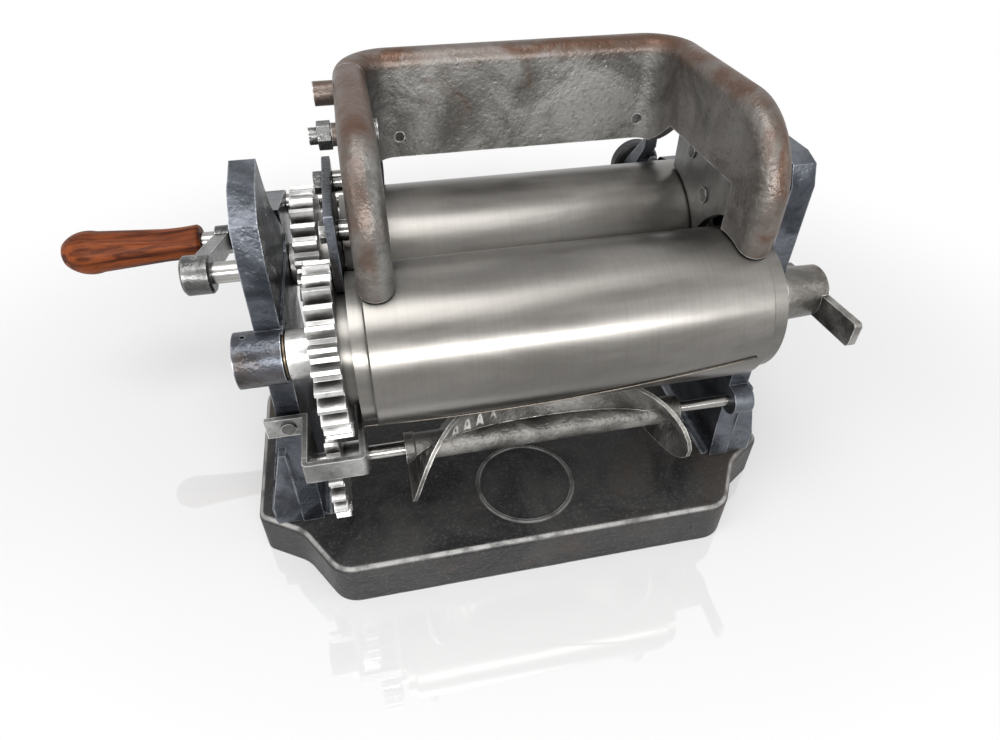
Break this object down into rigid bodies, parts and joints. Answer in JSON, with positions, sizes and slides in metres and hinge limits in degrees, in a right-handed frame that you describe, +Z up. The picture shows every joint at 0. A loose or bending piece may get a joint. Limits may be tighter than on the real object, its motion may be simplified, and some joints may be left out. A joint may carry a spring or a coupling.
{
  "type": "hand crank tortilla machine",
  "caption": "Hand-cranked dough sheeter: geared rollers under a U-shaped hopper, a rotary cutter below and a cast base, turned by a wood-gripped crank.",
  "frame": {"origin": "centre of the underside of the base casting, on the surface it stands on", "axes": "+X along the rollers away from the crank, -Y towards the user and the front roller, +Z up"},
  "size_m": [0.4488, 0.2324, 0.264],
  "materials": {
    "base_casting": "dark rough casting, worn bright along the rim",
    "frame_casting": "grey sand casting, worn",
    "steel_fasteners": "worn plain steel",
    "bright_steel": "turned and rubbed bright",
    "bronze": "plain bearing bronze",
    "roller_metal": "turned satin with fine rings",
    "gear_metal": "machined teeth, worn bright on the tips",
    "cutter_casting": "rough casting with tool marks",
    "strap_metal": "bent flat bar, dull",
    "hopper_casting": "grey casting with brown staining on the rim",
    "plate_metal": "milled plate",
    "knob_black": "black, knocked",
    "crank_steel": "dull steel",
    "handle_wood": "orange-brown varnished hardwood with dark grain",
    "lever_casting": "casting with brown staining on the hub"
  },
  "bodies": {
    "base": {"base": "base_casting", "left_frame": "frame_casting", "right_frame": "frame_casting", "foot_bolts": "steel_fasteners", "tie_bar": "bright_steel", "tie_nuts": "steel_fasteners", "front_left_bush": "bronze", "back_left_bush": "bronze", "back_right_bush": "bronze", "gear_yoke": "strap_metal", "yoke_screw": "steel_fasteners", "hopper": "hopper_casting", "left_cheek": "hopper_casting", "left_end_plate": "plate_metal", "right_end_plate": "plate_metal", "left_shoe": "frame_casting", "shoe_bolts": "steel_fasteners", "cheek_stud": "steel_fasteners", "cheek_nut": "steel_fasteners", "hopper_spacers": "bright_steel", "hopper_bolts": "steel_fasteners", "hopper_brackets": "frame_casting", "bracket_screws": "steel_fasteners", "clamp_knob": "knob_black"},
    "back_roller": {"back_roller": "roller_metal", "back_shaft": "bright_steel", "back_roller_pin": "bright_steel", "back_gear": "gear_metal", "back_gear_key": "bright_steel", "crank": "crank_steel", "crank_screw": "steel_fasteners", "handle_spindle": "bright_steel", "spindle_nut": "steel_fasteners"},
    "front_roller": {"front_roller": "roller_metal", "front_shaft": "bright_steel", "front_roller_pin": "bright_steel", "front_gear": "gear_metal", "front_gear_key": "bright_steel"},
    "cutter": {"cutter_shaft": "bright_steel", "cutter_gear": "gear_metal", "cutter_drum": "cutter_casting"},
    "handle": {"handle_grip": "handle_wood"},
    "gap_lever": {"gap_lever": "lever_casting", "lever_bush": "bronze"}
  },
  "joints": [
    {"name": "back_roller_spin", "type": "hinge", "parent": "base", "child": "back_roller", "pos_m": [0, 0.0455, 0.1555], "axis": [1, 0, 0], "continuous": true},
    {"name": "front_roller_spin", "type": "hinge", "parent": "base", "child": "front_roller", "pos_m": [0, -0.0385, 0.1555], "axis": [1, 0, 0], "continuous": true},
    {"name": "cutter_spin", "type": "hinge", "parent": "base", "child": "cutter", "pos_m": [0, -0.04665, 0.08396], "axis": [1, 0, 0], "continuous": true},
    {"name": "handle_spin", "type": "hinge", "parent": "back_roller", "child": "handle", "pos_m": [0, 0.13157, 0.12919], "axis": [1, 0, 0], "continuous": true},
    {"name": "gap_lever_turn", "type": "hinge", "parent": "base", "child": "gap_lever", "pos_m": [0, -0.0385, 0.1555], "axis": [1, 0, 0], "range_deg": [-60, 40]}
  ],
  "couplings": [
    {"joint": "front_roller_spin", "follows": "back_roller_spin", "ratio": -1},
    {"joint": "cutter_spin", "follows": "back_roller_spin", "ratio": 1.4}
  ]
}
